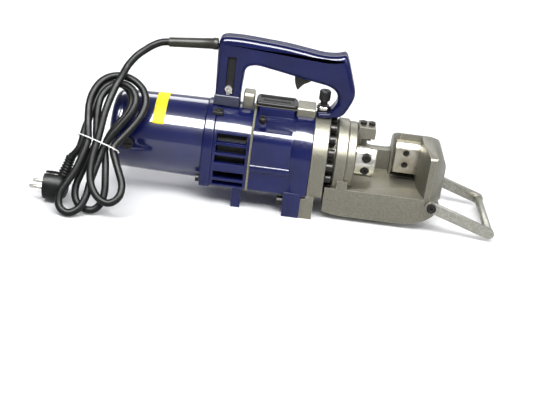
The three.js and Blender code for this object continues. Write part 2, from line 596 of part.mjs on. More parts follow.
function bailBolt(side) {
  const seat = side * (BAIL_ARM_Y + BAIL_THICKNESS + GAP);
  return capScrew([BAIL_PIVOT_X, seat, BAIL_PIVOT_Z], [0, side, 0], 6.8, 5, 4, 22);
}

// ---------------------------------------------------------------- handle
const HANDLE_BOLT_X = -118;
const HANDLE_BOLT_Z = 160;
function handleBody() {
  const body = prismY([
    [-135, 127, 6], [-138, 214, 10], [-136, 231, 12], [-108, 232.5, 20], [-44, 229, 20], [8, 222, 14],
    [27, 224, 8], [36, 228, 6], [42, 216, 8], [50, 192, 10], [57, 172, 12], [50, 152, 8], [42, 138, 7],
    [7, 133, 6], [7, 142.5, 6], [24, 143, 4], [33, 158, 8], [31, 172, 6],
    [20, 180, 10], [-8, 184, 10], [-42, 190, 8], [-84, 197, 8], [-98, 192, 6], [-101, 150, 10],
    [-98, 127, 6],
  ], -HANDLE_HALF_WIDTH, HANDLE_HALF_WIDTH, 3, 2.2);
  const saddle = rodX(-140, -60, HOUSING_RADIUS + 1.4, 0, AXIS_Z, 40);
  const flangeRelief = rodX(0, 40, HOUSING_RADIUS + 0.9, 0, AXIS_Z, 40);
  const triggerRoom = box(-34, 1, -8.5, 8.5, 160, 203);
  const switchRoom = box(-52, 1, -9.5, 9.5, 199, 217);
  const valveRoom = rodZ(120, 190, 10.5, 15, 0, 20);
  const cordBore = rod([-150, 0, 216], [-60, 0, 211], 6.2, 14);
  const boltHole = rodY(-30, 30, 3.3, HANDLE_BOLT_X, HANDLE_BOLT_Z, 12);
  const boltHead = rodY(-30, -12, 5.6, HANDLE_BOLT_X, HANDLE_BOLT_Z, 16);
  const channel = box(HANDLE_BOLT_X - 4, HANDLE_BOLT_X + 6, -20, -13, 156, 205);
  const rooms = [triggerRoom, switchRoom, valveRoom, channel];
  return cut(body, saddle, flangeRelief, cordBore, boltHole, boltHead, ...rooms);
}

const handle = handleBody();
const nearHalf = () => handle.intersect(box(-200, 100, -40, -GAP / 2, 0, 300));
const farHalf = () => handle.intersect(box(-200, 100, GAP / 2, 40, 0, 300));
const handleBolt = () => capScrew([HANDLE_BOLT_X, -12.3, HANDLE_BOLT_Z], [0, -1, 0], 5.2, 4.5, 3, 24);

function trigger() {
  return prismY([
    [-31, 196, 2], [-4, 196, 2], [-1, 187, 3], [-9, 181, 4], [-17, 177, 4], [-24, 167, 3], [-29, 178, 4],
  ], -8, 8, 3);
}
const switchBody = () => box(-50, -3, -9, 9, 200, 215);

// Pressure release valve between the handle's front foot and the ram's key.
function releaseValve() {
  const base = rodZ(136.8, 150, 8, 15, 0, 20);
  const collar = rodZ(149, 156, 5, 15, 0, 16);
  return join(base, collar);
}

function releaseLever() {
  const knob = rodZ(156 + GAP, 170, 7, 15, 0, 16);
  const arm = rod([15, 0, 165], [15, -19, 161], 2.4, 10);
  return join(knob, arm);
}

// ---------------------------------------------------------------- mains lead
const SLEEVE_START = [-138.6, 0, 217];
const SLEEVE_END = [-206, 0, 210.6];

function strainRelief() {
  const start = new THREE.Vector3(...SLEEVE_START);
  const along = new THREE.Vector3(...SLEEVE_END).sub(start);
  const length = along.length();
  const profile = [new THREE.Vector2(0, 0), new THREE.Vector2(9, 0), new THREE.Vector2(9, 10)];
  for (let i = 0; i < 6; i += 1) {
    const [at, radius] = [14 + i * 8, 8.6 - i * 0.35];
    profile.push(new THREE.Vector2(radius - 1.3, at - 2.5), new THREE.Vector2(radius - 1.3, at));
    profile.push(new THREE.Vector2(radius, at + 0.6), new THREE.Vector2(radius, at + 4.4));
  }
  profile.push(new THREE.Vector2(6.2, 61), new THREE.Vector2(6.2, length), new THREE.Vector2(0, length));
  const geometry = new THREE.LatheGeometry(profile, 14);
  const turn = new THREE.Quaternion().setFromUnitVectors(Y_AXIS, along.normalize());
  return solid(geometry.applyQuaternion(turn).translate(...SLEEVE_START));
}

// Centre line of the free stretch, from the sleeve down to the bundle.
const CORD_ROUTE = [
  [-207, 0, 210.5], [-217, -0.7, 208.6], [-227, -3, 204], [-237, -6, 197], [-246, -11, 190],
  [-253, -16, 182], [-258, -21, 174.5],
];

// The bundle stands on the floor and leans on the motor: its own frame has `across` along
// X, `up` along the lean, and its thickness along the remaining direction.
const BUNDLE_FOOT = new THREE.Vector3(0, -140, 5);
const BUNDLE_UP = new THREE.Vector3(0, 90, 130).normalize();
const BUNDLE_OUT = new THREE.Vector3().crossVectors(X_AXIS, BUNDLE_UP);
const BUNDLE_THICKNESS = 29;

function inBundleFrame(body) {
  const frame = new THREE.Matrix4().makeBasis(X_AXIS, BUNDLE_UP, BUNDLE_OUT);
  frame.setPosition(BUNDLE_FOOT);
  return body.transform(frame.elements.slice());
}

function cordBundle() {
  const waist = outline([
    [-311, 2, 26], [-240, 2, 26], [-236, 40, 20], [-252, 92, 20], [-220, 140, 20], [-218, 184, 24],
    [-240, 205, 26], [-290, 205, 26], [-306, 180, 20], [-302, 96, 20], [-312, 40, 20],
  ]);
  return inBundleFrame(prismZ(waist, -BUNDLE_THICKNESS / 2, BUNDLE_THICKNESS / 2, 2, 6));
}

function cordTube() {
  const route = new THREE.CatmullRomCurve3(CORD_ROUTE.map((p) => new THREE.Vector3(...p)));
  const section = circle(CORD_DIAMETER / 2);
  return solid(new THREE.ExtrudeGeometry(section, { steps: 10, curveSegments: 5, extrudePath: route }));
}

const PLUG_CENTRE = [-330, -100, 21];
function plug() {
  const [x, y, z] = PLUG_CENTRE;
  const body = rod([x - 17, y, z], [x + 14, y, z], 19.8, 24, 17);
  const neck = rod([x + 6, y + 2, z + 8], [x + 14, y + 12, z + 40], 8, 14, 6.2);
  const pins = [-9.5, 9.5].map((side) => rod([x - 36, y + side, z], [x - 16, y + side, z], 2.4, 10));
  return join(body, neck, ...pins);
}

// ---------------------------------------------------------------- assembly
place("motor_housing", motorHousing(), BLUE);
place("motor_end_cap", motorEndCap(), BLUE);
for (const [name, side] of [["near", -1], ["far", 1]]) {
  const [y0, y1] = [side * 45, side * (MOTOR_RADIUS + 1.5)].sort((a, b) => a - b);
  const cap = rodY(y0, y1, BRUSH_RADIUS, BRUSH_X, AXIS_Z, 16);
  const slot = box(BRUSH_X - 6, BRUSH_X + 6, side * MOTOR_RADIUS - 1, side * MOTOR_RADIUS + 1, 77, 79);
  place(`brush_cap_${name}`, cut(cap, slot.translate([0, side * 1.2, 0])), BLACK);
  const screw = capScrew([MOTOR_FRONT_X - GAP, side * 50, 37], [-1, 0, 0], 5, 5, 2.6, 0);
  place(`motor_screw_${name}`, screw, DARK_STEEL);
}
place("motor_flange", motorFlange(), BLUE);
place("stator", statorRing(), COPPER);
place("armature", armature(), STEEL);
place("cooling_fan", coolingFan(), BLACK);
place("rear_bearing", bearing(MOTOR_REAR_X + 3.5, MOTOR_REAR_X + 13), STEEL);
place("front_bearing", bearing(-75, -69.5), STEEL);
place("fan_housing", fanHousing(), BLUE);
place("housing_gasket", gasket(), GASKET);
place("gear_housing", gearHousing(), BLUE);
place("filler_plug", fillerPlug(), DARK_STEEL);
place("vent_post", ventPost(), CAST);
place("reservoir_cover", reservoirCover(), BLACK);
place("drive_gear", driveGear(), STEEL);
place("pump_block", pumpBlock(), CAST);
place("pump_plunger", pumpPlunger(), STEEL);

place("cylinder_flange", cylinderFlange(), CAST);
for (let i = 0; i < FLANGE_SCREWS; i += 1) {
  place(`flange_screw_${i + 1}`, flangeScrew(i), DARK_STEEL);
}
place("return_spring", returnSpring(), STEEL);
place("ram", ram(), STEEL);
place("movable_blade", movableBlade(), BLADE);
BLADE_SCREW_Z.forEach((z, i) => place(`movable_blade_screw_${i + 1}`, movableBladeScrew(z), DARK_STEEL));
place("cutter_frame", cutterFrame(), CAST);
place("ring_plate", ringPlate(), CAST);
place("key_block", keyBlock(), CAST);
KEY_SCREW_X.forEach((x, i) => place(`key_screw_${i + 1}`, keyScrew(x), DARK_STEEL));
place("fixed_blade", fixedBlade(), BLADE);
BLADE_HOLE_Z.forEach((z, i) => place(`fixed_blade_screw_${i + 1}`, fixedBladeScrew(z), DARK_STEEL));
place("bar_stopper", barStopper(), DARK_STEEL);
for (const [name, side] of [["near", -1], ["far", 1]]) {
  place(`bail_arm_${name}`, bailArm(side), STEEL);
  place(`bail_bolt_${name}`, bailBolt(side), DARK_STEEL);
}
place("bail_cross_bar", bailCrossBar(), STEEL);

place("handle_near_half", nearHalf(), BLUE);
place("handle_far_half", farHalf(), BLUE);
place("handle_bolt", handleBolt(), STEEL);
place("trigger", trigger(), BLACK);
place("switch_body", switchBody(), BLACK);
place("release_valve", releaseValve(), DARK_STEEL);
place("release_lever", releaseLever(), BLACK);

place("strain_relief", strainRelief(), RUBBER);
place("cord_tube", cordTube(), RUBBER);
place("cord_bundle", cordBundle(), RUBBER);
place("plug", plug(), BLACK);

export default model;
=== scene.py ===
"""Portable electro-hydraulic rebar cutter: the looks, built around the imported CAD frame, in metres."""
import math

import bmesh
import bpy
from mathutils import Euler, Matrix, Vector


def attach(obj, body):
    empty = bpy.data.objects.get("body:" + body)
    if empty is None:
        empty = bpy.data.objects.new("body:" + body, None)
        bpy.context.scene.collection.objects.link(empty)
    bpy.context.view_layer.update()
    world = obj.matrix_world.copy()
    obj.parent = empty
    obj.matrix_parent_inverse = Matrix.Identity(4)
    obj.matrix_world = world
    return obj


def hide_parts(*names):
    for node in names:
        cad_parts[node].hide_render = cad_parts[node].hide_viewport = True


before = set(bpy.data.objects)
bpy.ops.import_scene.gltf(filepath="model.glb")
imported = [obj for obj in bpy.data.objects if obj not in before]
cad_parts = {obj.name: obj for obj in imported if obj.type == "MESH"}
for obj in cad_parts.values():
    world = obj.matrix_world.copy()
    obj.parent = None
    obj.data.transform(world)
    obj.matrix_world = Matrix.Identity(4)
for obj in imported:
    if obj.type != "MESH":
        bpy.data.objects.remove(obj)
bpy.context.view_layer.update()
scene = bpy.context.scene
MM = 0.001

# ---------------------------------------------------------------- driving dimensions, in millimetres
AXIS_Z = 78.0  # height of the common axis of motor and ram
MOTOR_RADIUS = 57.0
MOTOR_TUBE_X = (-258.0, -144.0)
CORD_DIAMETER = 10.0
SLEEVE_START = (-138.6, 0.0, 217.0)
SLEEVE_END = (-206.0, 0.0, 210.6)
HANDLE_HALF_WIDTH = 16.0
COVER_HALF_WIDTH = 17.0
COVER_TOP = 147.5
HANDLE_SEAM = 0.15  # half the gap between the two handle halves
HANDLE_BOLT_X = -118.0
HANDLE_BOLT_Z = 160.0
VALVE_X = 15.0  # the release valve's upright axis
VALVE_CAP_SPAN = (156.4, 171.0)
RING_SCREW_CIRCLE = 49.0  # radius of the circle on which the ring's screws stand
NUT_SHARP_ANGLE = math.radians(20)
SHARP_ANGLE = math.radians(38)  # edges past this stay sharp on the modelled pieces


# ---------------------------------------------------------------- camera
CAMERA_PLACE = Vector((-0.0348, -1.3159, 0.6190))
CAMERA_ELEVATION = math.radians(25.5)
CAMERA_ROLL = math.radians(7.4)
CAMERA_LENS = 65.45


def make_camera():
    camera = bpy.data.objects.new("camera", bpy.data.cameras.new("camera"))
    scene.collection.objects.link(camera)
    camera.data.lens = CAMERA_LENS
    camera.data.sensor_width = 36.0
    camera.data.clip_start = 0.05
    camera.data.clip_end = 50.0
    level = Euler((math.pi / 2 - CAMERA_ELEVATION, 0, 0)).to_matrix()
    roll = Matrix.Rotation(CAMERA_ROLL, 3, "Z")
    camera.matrix_world = Matrix.Translation(CAMERA_PLACE) @ (level @ roll).to_4x4()
    scene.camera = camera


make_camera()


# ---------------------------------------------------------------- material helpers
def new_material(name, color, metallic, roughness, coat=0.0, coat_roughness=0.05, specular=0.5):
    made = bpy.data.materials.new(name)
    made.use_nodes = True
    shader = made.node_tree.nodes["Principled BSDF"]
    shader.inputs["Base Color"].default_value = (*color, 1)
    shader.inputs["Metallic"].default_value = metallic
    shader.inputs["Roughness"].default_value = roughness
    shader.inputs["Coat Weight"].default_value = coat
    shader.inputs["Coat Roughness"].default_value = coat_roughness
    shader.inputs["Specular IOR Level"].default_value = specular
    return made


def shader_of(made):
    return made.node_tree.nodes["Principled BSDF"]


def noise(made, scale, detail=4.0, roughness=0.55, stretch=(1, 1, 1)):
    """A noise value in object space; scale counts features per metre."""
    nodes, links = made.node_tree.nodes, made.node_tree.links
    coordinates = nodes.new("ShaderNodeTexCoord")
    mapping = nodes.new("ShaderNodeMapping")
    mapping.inputs["Scale"].default_value = stretch
    texture = nodes.new("ShaderNodeTexNoise")
    texture.inputs["Scale"].default_value = scale
    texture.inputs["Detail"].default_value = detail
    texture.inputs["Roughness"].default_value = roughness
    links.new(coordinates.outputs["Object"], mapping.inputs["Vector"])
    links.new(mapping.outputs["Vector"], texture.inputs["Vector"])
    return texture.outputs["Fac"]


def ramp(made, value, low, high, colors):
    """Maps a value from low..high on to two colours, as a colour output."""
    nodes, links = made.node_tree.nodes, made.node_tree.links
    made_ramp = nodes.new("ShaderNodeValToRGB")
    made_ramp.color_ramp.elements[0].position = low
    made_ramp.color_ramp.elements[1].position = high
    made_ramp.color_ramp.elements[0].color = (*colors[0], 1)
    made_ramp.color_ramp.elements[1].color = (*colors[1], 1)
    links.new(value, made_ramp.inputs["Fac"])
    return made_ramp.outputs["Color"]


def vary_color(made, dark, light, scale, low=0.35, high=0.65, stretch=(1, 1, 1)):
    color = ramp(made, noise(made, scale, stretch=stretch), low, high, (dark, light))
    made.node_tree.links.new(color, shader_of(made).inputs["Base Color"])
    return color


def vary_roughness(made, smooth, rough, scale, stretch=(1, 1, 1)):
    nodes, links = made.node_tree.nodes, made.node_tree.links
    spread = nodes.new("ShaderNodeMapRange")
    spread.inputs["From Min"].default_value = 0.3
    spread.inputs["From Max"].default_value = 0.7
    spread.inputs["To Min"].default_value = smooth
    spread.inputs["To Max"].default_value = rough
    links.new(noise(made, scale, stretch=stretch), spread.inputs["Value"])
    links.new(spread.outputs["Result"], shader_of(made).inputs["Roughness"])


def bump(made, height, depth, strength=1.0):
    """Adds relief of `depth` millimetres; several layers stack."""
    nodes, links = made.node_tree.nodes, made.node_tree.links
    relief = nodes.new("ShaderNodeBump")
    relief.inputs["Distance"].default_value = depth * MM
    relief.inputs["Strength"].default_value = strength
    normal = shader_of(made).inputs["Normal"]
    if normal.is_linked:
        links.new(normal.links[0].from_socket, relief.inputs["Normal"])
    links.new(height, relief.inputs["Height"])
    links.new(relief.outputs["Normal"], normal)


def edge_mask(made, radius):
    """0 on open faces and up to 1 along edges, from how far a rounded normal leaves the true one."""
    nodes, links = made.node_tree.nodes, made.node_tree.links
    rounded = nodes.new("ShaderNodeBevel")
    rounded.samples = 4
    rounded.inputs["Radius"].default_value = radius * MM
    geometry = nodes.new("ShaderNodeNewGeometry")
    dot = nodes.new("ShaderNodeVectorMath")
    dot.operation = "DOT_PRODUCT"
    links.new(rounded.outputs["Normal"], dot.inputs[0])
    links.new(geometry.outputs["Normal"], dot.inputs[1])
    mask = nodes.new("ShaderNodeMapRange")
    mask.inputs["From Min"].default_value = 0.98
    mask.inputs["From Max"].default_value = 0.8
    links.new(dot.outputs["Value"], mask.inputs["Value"])
    return mask.outputs["Result"]


def edge_highlight_and_wear(made, base, highlight_and_wear_color, radius, scale):
    """Mixes a lighter colour in along edges, broken up by noise: painted highlight where the edges catch
    the light, together with wear.
    """
    nodes, links = made.node_tree.nodes, made.node_tree.links
    broken = nodes.new("ShaderNodeMath")
    broken.operation = "MULTIPLY"
    links.new(edge_mask(made, radius), broken.inputs[0])
    links.new(noise(made, scale), broken.inputs[1])
    mix = nodes.new("ShaderNodeMix")
    mix.data_type = "RGBA"
    links.new(broken.outputs["Value"], mix.inputs["Factor"])
    links.new(base, mix.inputs["A"])
    mix.inputs["B"].default_value = (*highlight_and_wear_color, 1)
    links.new(mix.outputs["Result"], shader_of(made).inputs["Base Color"])


# ---------------------------------------------------------------- materials
def navy_enamel(name, cast):
    """Glossy dark blue paint; over a casting it shows the sand's soft waves."""
    coat, specular = (0.42, 0.1) if cast else (1.0, 0.15)
    made = new_material(name, (0.003, 0.006, 0.062), 0.0, 0.3, coat=coat, coat_roughness=0.04,
                        specular=specular)
    base = vary_color(made, (0.002, 0.0045, 0.052), (0.0035, 0.0075, 0.075), 18)
    if cast:
        bump(made, noise(made, 110, 3), 0.8, 0.55)
        bump(made, noise(made, 420, 2), 0.2, 0.5)
        # brighter blue along the casting's edges: painted highlight
        edge_highlight_and_wear(made, base, (0.03, 0.04, 0.2), 1.2, 60)
    else:
        bump(made, noise(made, 260, 2), 0.05, 0.5)
    return made


def navy_moulding():
    made = new_material("navy_moulding", (0.003, 0.0055, 0.055), 0.0, 0.3, coat=0.38,
                        coat_roughness=0.07, specular=0.05)
    vary_color(made, (0.002, 0.004, 0.046), (0.003, 0.0065, 0.064), 24)
    bump(made, noise(made, 1500, 2), 0.03, 0.5)
    return made


def yellow_tape():
    made = new_material("yellow_tape", (0.9, 0.72, 0.0), 0.0, 0.6, specular=0.15)
    vary_color(made, (0.85, 0.66, 0.0), (0.95, 0.78, 0.005), 40)
    bump(made, noise(made, 500, 2), 0.04, 0.5)
    return made


def cast_steel():
    """Sand-cast steel with a nickel grey spray; faces square to Y are ground smoother."""
    made = new_material("cast_steel", (0.17, 0.162, 0.13), 0.75, 0.42)
    nodes, links = made.node_tree.nodes, made.node_tree.links
    base = vary_color(made, (0.12, 0.115, 0.091), (0.162, 0.155, 0.124), 520)
    # paler edges: painted highlight where edges catch the light, and polish from wear
    edge_highlight_and_wear(made, base, (0.6, 0.58, 0.52), 1.4, 260)
    vary_roughness(made, 0.33, 0.48, 900)
    geometry = nodes.new("ShaderNodeNewGeometry")
    parts = nodes.new("ShaderNodeSeparateXYZ")
    links.new(geometry.outputs["True Normal"], parts.inputs["Vector"])
    size = nodes.new("ShaderNodeMath")
    size.operation = "ABSOLUTE"
    links.new(parts.outputs["Y"], size.inputs[0])
    sand = nodes.new("ShaderNodeMapRange")
    sand.inputs["From Min"].default_value = 0.9
    sand.inputs["From Max"].default_value = 0.98
    sand.inputs["To Min"].default_value = 1.0
    sand.inputs["To Max"].default_value = 0.1
    links.new(size.outputs["Value"], sand.inputs["Value"])
    grain = nodes.new("ShaderNodeMath")
    grain.operation = "MULTIPLY"
    links.new(noise(made, 950, 4, 0.6), grain.inputs[0])
    links.new(sand.outputs["Result"], grain.inputs[1])
    bump(made, noise(made, 60, 3), 0.5, 0.25)
    bump(made, grain.outputs["Value"], 0.4, 0.8)
    return made


def bright_steel():
    """Machined steel with fine lines square to Z."""
    made = new_material("bright_steel", (0.4, 0.39, 0.355), 1.0, 0.26)
    vary_color(made, (0.34, 0.335, 0.3), (0.46, 0.45, 0.41), 60)
    vary_roughness(made, 0.22, 0.36, 90)
    bump(made, noise(made, 60, 6, stretch=(1, 1, 30)), 0.05, 0.6)
    return made


def bail_steel():
    made = new_material("bail_steel", (0.25, 0.245, 0.215), 0.85, 0.36)
    base = vary_color(made, (0.2, 0.195, 0.17), (0.29, 0.285, 0.25), 260)
    # paler edges: painted highlight where edges catch the light, and polish from wear
    edge_highlight_and_wear(made, base, (0.8, 0.78, 0.72), 0.8, 150)
    vary_roughness(made, 0.28, 0.44, 140)
    bump(made, noise(made, 500, 4), 0.1, 0.5)
    return made


def black_oxide():
    made = new_material("black_oxide", (0.016, 0.015, 0.014), 0.5, 0.4, specular=0.25)
    base = vary_color(made, (0.01, 0.0095, 0.009), (0.024, 0.022, 0.02), 300)
    # paler edges: painted highlight where edges catch the light, and oxide worn off
    edge_highlight_and_wear(made, base, (0.16, 0.155, 0.14), 0.5, 500)
    bump(made, noise(made, 900, 3), 0.04, 0.5)
    return made


def blade_steel():
    made = new_material("blade_steel", (0.3, 0.28, 0.235), 0.9, 0.36)
    base = vary_color(made, (0.24, 0.215, 0.17), (0.34, 0.325, 0.28), 45, stretch=(1, 1, 0.6))
    # paler edges: painted highlight where edges catch the light, and polish from wear
    edge_highlight_and_wear(made, base, (0.75, 0.72, 0.66), 0.8, 300)
    vary_roughness(made, 0.26, 0.42, 200)
    bump(made, noise(made, 90, 5, stretch=(14, 1, 1)), 0.04, 0.6)
    return made


def cord_rubber():
    made = new_material("cord_rubber", (0.006, 0.0065, 0.0065), 0.0, 0.42, specular=0.12)
    vary_color(made, (0.004, 0.0045, 0.0045), (0.008, 0.0085, 0.008), 120)
    vary_roughness(made, 0.36, 0.5, 90)
    bump(made, noise(made, 900, 3), 0.06, 0.5)
    return made


def black_moulding(name="black_moulding", tint=(0.008, 0.008, 0.0078)):
    made = new_material(name, tint, 0.0, 0.42, specular=0.2)
    light = [1.6 * channel for channel in tint]
    vary_color(made, tint, light, 200)
    vary_roughness(made, 0.36, 0.5, 260)
    bump(made, noise(made, 1600, 2), 0.05, 0.6)
    return made


def gasket_fibre():
    made = new_material("gasket_fibre", (0.15, 0.14, 0.07), 0.0, 0.85)
    vary_color(made, (0.1, 0.095, 0.045), (0.2, 0.185, 0.1), 900)
    bump(made, noise(made, 1400, 4), 0.1, 0.8)
    return made


def copper_winding():
    made = new_material("copper_winding", (0.5, 0.2, 0.08), 1.0, 0.35)
    vary_color(made, (0.4, 0.15, 0.06), (0.6, 0.26, 0.11), 150)
    bump(made, noise(made, 40, 3, stretch=(1, 40, 40)), 0.3, 0.8)
    return made


def tie_plastic():
    made = new_material("tie_plastic", (0.85, 0.85, 0.82), 0.0, 0.4)
    vary_color(made, (0.78, 0.78, 0.75), (0.9, 0.9, 0.88), 300)
    return made


def backdrop_reflection_moulding():
    """The paler blue-grey of the rear post's foot: a painted reflection of the backdrop."""
    made = new_material("backdrop_reflection_moulding", (0.02, 0.024, 0.05), 0.0, 0.5, specular=0.3)
    vary_color(made, (0.017, 0.02, 0.042), (0.025, 0.03, 0.06), 80)
    bump(made, noise(made, 900, 3), 0.06, 0.6)
    return made


ENAMEL = navy_enamel("navy_enamel", cast=False)
CAST_ENAMEL = navy_enamel("navy_cast_enamel", cast=True)
MOULDING = navy_moulding()
CAST = cast_steel()
STEEL = bright_steel()
BAIL = bail_steel()
OXIDE = black_oxide()
BLADE = blade_steel()
RUBBER = cord_rubber()
BLACK = black_moulding()
OLIVE = black_moulding("olive_black_moulding", (0.014, 0.014, 0.009))
GASKET = gasket_fibre()
COPPER = copper_winding()
BACKDROP_REFLECTION = backdrop_reflection_moulding()

NODE_LOOKS = {
    "motor_housing": ENAMEL, "motor_end_cap": ENAMEL, "motor_flange": CAST_ENAMEL,
    "fan_housing": CAST_ENAMEL, "gear_housing": CAST_ENAMEL, "housing_gasket": GASKET,
    "reservoir_cover": BLACK, "cooling_fan": BLACK, "switch_body": BLACK, "brush_cap_near": BLACK,
    "brush_cap_far": BLACK, "cylinder_flange": CAST, "cutter_frame": CAST, "ring_plate": CAST,
    "key_block": CAST, "pump_block": CAST, "vent_post": CAST, "bail_arm_near": BAIL, "bail_arm_far": BAIL,
    "bail_cross_bar": BAIL, "movable_blade": BLADE, "fixed_blade": BLADE, "stator": COPPER,
}
KEEP_TRIANGLES = {"fixed_blade"}  # its bored faces don't dissolve cleanly
STEEL_NODES = {"armature", "rear_bearing", "front_bearing", "drive_gear", "pump_plunger",
               "return_spring", "ram", "handle_bolt"}
ROUNDING = {"cutter_frame": 1.6, "motor_flange": 1.2, "gear_housing": 1.2, "fan_housing": 0.8,
            "cylinder_flange": 1.2, "reservoir_cover": 0.6, "bail_arm_near": 0.7, "bail_arm_far": 0.7,
            "key_block": 0.7, "ram": 0.6, "fixed_blade": 0.25}


# ---------------------------------------------------------------- rounding of the CAD's sharp edges
WELD_REACH = 0.002  # millimetres
FLAT_ANGLE = math.radians(0.6)  # faces that turn less than this count as one
SMOOTH_ANGLE = math.radians(32)
BEVEL_ANGLE = math.radians(34)
PLAIN_ROUNDING = 0.4  # millimetres, for nodes that ROUNDING doesn't name


def smoothing_group(limit):
    """Geometry nodes that shade faces smooth and keep edges past `limit` sharp."""
    group = bpy.data.node_groups.new("smooth_below_limit", "GeometryNodeTree")
    group.interface.new_socket("Geometry", in_out="INPUT", socket_type="NodeSocketGeometry")
    group.interface.new_socket("Geometry", in_out="OUTPUT", socket_type="NodeSocketGeometry")
    nodes, links = group.nodes, group.links
    source = nodes.new("NodeGroupInput")
    result = nodes.new("NodeGroupOutput")
    angle = nodes.new("GeometryNodeInputMeshEdgeAngle")
    sharp = nodes.new("FunctionNodeCompare")
    sharp.data_type = "FLOAT"
    sharp.operation = "GREATER_THAN"
    sharp.inputs[1].default_value = limit
    faces = nodes.new("GeometryNodeSetShadeSmooth")
    faces.domain = "FACE"
    edges = nodes.new("GeometryNodeSetShadeSmooth")
    edges.domain = "EDGE"
    edges.inputs["Shade Smooth"].default_value = False
    links.new(source.outputs[0], faces.inputs[0])
    links.new(faces.outputs[0], edges.inputs[0])
    links.new(angle.outputs["Unsigned Angle"], sharp.inputs[0])
    links.new(sharp.outputs[0], edges.inputs["Selection"])
    links.new(edges.outputs[0], result.inputs[0])
    return group


SMOOTHING = smoothing_group(SMOOTH_ANGLE)


def refine(thing, width):
    """Welds, clears flat triangles, rounds edges by `width` millimetres and shades smooth."""
    weld = thing.modifiers.new("weld", "WELD")
    weld.merge_threshold = WELD_REACH * MM
    if thing.name not in KEEP_TRIANGLES:
        flat = thing.modifiers.new("flat_faces", "DECIMATE")
        flat.decimate_type = "DISSOLVE"
        flat.angle_limit = FLAT_ANGLE
    bevel = thing.modifiers.new("rounding", "BEVEL")
    bevel.width = width * MM
    bevel.segments = 2
    bevel.limit_method = "ANGLE"
    bevel.angle_limit = BEVEL_ANGLE
    smooth = thing.modifiers.new("smooth", "NODES")
    smooth.node_group = SMOOTHING


def dress_nodes():
    for name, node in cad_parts.items():
        look = NODE_LOOKS.get(name, STEEL if name in STEEL_NODES else OXIDE)
        node.data.materials.clear()
        node.data.materials.append(look)
        refine(node, ROUNDING.get(name, PLAIN_ROUNDING))


# ---------------------------------------------------------------- mesh helpers
def placed(name, mesh, sharp_angle=SHARP_ANGLE):
    """Shades a mesh smooth up to `sharp_angle` and puts it in the scene."""
    mesh.shade_smooth()
    mesh.set_sharp_from_angle(angle=sharp_angle)
    made = bpy.data.objects.new(name, mesh)
    scene.collection.objects.link(made)
    return made


def mesh_object(name, vertices, faces, look, sharp_angle=SHARP_ANGLE):
    mesh = bpy.data.meshes.new(name)
    mesh.from_pydata([tuple(v) for v in vertices], [], faces)
    mesh.materials.append(look)
    build = bmesh.new()
    build.from_mesh(mesh)
    bmesh.ops.remove_doubles(build, verts=build.verts, dist=0.01 * MM)
    bmesh.ops.recalc_face_normals(build, faces=build.faces)
    build.to_mesh(mesh)
    build.free()
    return placed(name, mesh, sharp_angle)


def ring_faces(rings, sides):
    """The faces between rings of `sides` vertices that follow one another."""
    faces = []
    for ring in range(rings - 1):
        for i in range(sides):
            j = (i + 1) % sides
            low, high = ring * sides, (ring + 1) * sides
            faces.append((low + i, low + j, high + j, high + i))
    return faces


def end_face(ring, sides):
    """The flat face that closes a ring."""
    return tuple(range(ring * sides, (ring + 1) * sides))


def lathe(name, profile, start, direction, look, sides=48, sharp_angle=SHARP_ANGLE):
    """Turns [distance, radius] points, in millimetres, about `direction` from `start`."""
    turn = Vector(direction).to_track_quat("Z", "Y").to_matrix()
    origin = Vector(start)
    vertices = []
    for distance, radius in profile:
        for i in range(sides):
            angle = 2 * math.pi * i / sides
            local = Vector((radius * math.cos(angle), radius * math.sin(angle), distance))
            vertices.append((origin + turn @ local) * MM)
    faces = ring_faces(len(profile), sides)
    for ring in (0, len(profile) - 1):
        if profile[ring][1] > 0:
            faces.append(end_face(ring, sides))
    return mesh_object(name, vertices, faces, look, sharp_angle)


def soften(points, steps=7):
    """Rounds an outline of [u, v, corner reach] points with quadratic arcs."""
    made = []
    for i, (u, v, reach) in enumerate(points):
        here = Vector((u, v))
        before = Vector(points[i - 1][:2]) - here
        after = Vector(points[(i + 1) % len(points)][:2]) - here
        entry = here + before.normalized() * min(reach, before.length * 0.45)
        leave = here + after.normalized() * min(reach, after.length * 0.45)
        for k in range(steps + 1):
            t = k / steps
            made.append((1 - t) ** 2 * entry + 2 * t * (1 - t) * here + t * t * leave)
    return made


def inward_normals(points):
    """Unit normals that point into a closed outline."""
    area = sum(a.x * b.y - b.x * a.y for a, b in zip(points, points[1:] + points[:1]))
    turn = 1 if area > 0 else -1
    normals = []
    for i in range(len(points)):
        tangent = (points[(i + 1) % len(points)] - points[i - 1]).normalized()
        normals.append(Vector((-tangent.y, tangent.x)) * turn)
    return normals


def plate(name, outline, rings, look, axis="Y", share=lambda point: 1):
    """A plate across `axis`: each ring is (height along the axis, inset of the outline).

    `share` is the part of the inset that a point takes, below 1 where the plate is narrow.
    """
    points = soften(outline)
    normals = [normal * share(point) for normal, point in zip(inward_normals(points), points)]
    count = len(points)
    vertices = []
    for height, inset in rings:
        for point, normal in zip(points, normals):
            u, v = point + normal * inset
            vertices.append(Vector((u, height, v) if axis == "Y" else (height, u, v)) * MM)
    faces = ring_faces(len(rings), count)
    faces += [end_face(0, count), end_face(len(rings) - 1, count)]
    return mesh_object(name, vertices, faces, look)


def rounded_rings(low, high, radius, low_radius=None, steps=5):
    """Ring heights and insets that round both faces of a plate."""
    low_radius = radius if low_radius is None else low_radius
    sign = 1 if high > low else -1
    arc = [math.pi / 2 * k / steps for k in range(steps + 1)]
    rings = []
    for angle in reversed(arc):
        height = low + sign * low_radius * (1 - math.sin(angle))
        rings.append((height, low_radius * (1 - math.cos(angle))))
    for angle in arc:
        height = high - sign * radius * (1 - math.sin(angle))
        rings.append((height, radius * (1 - math.cos(angle))))
    return rings


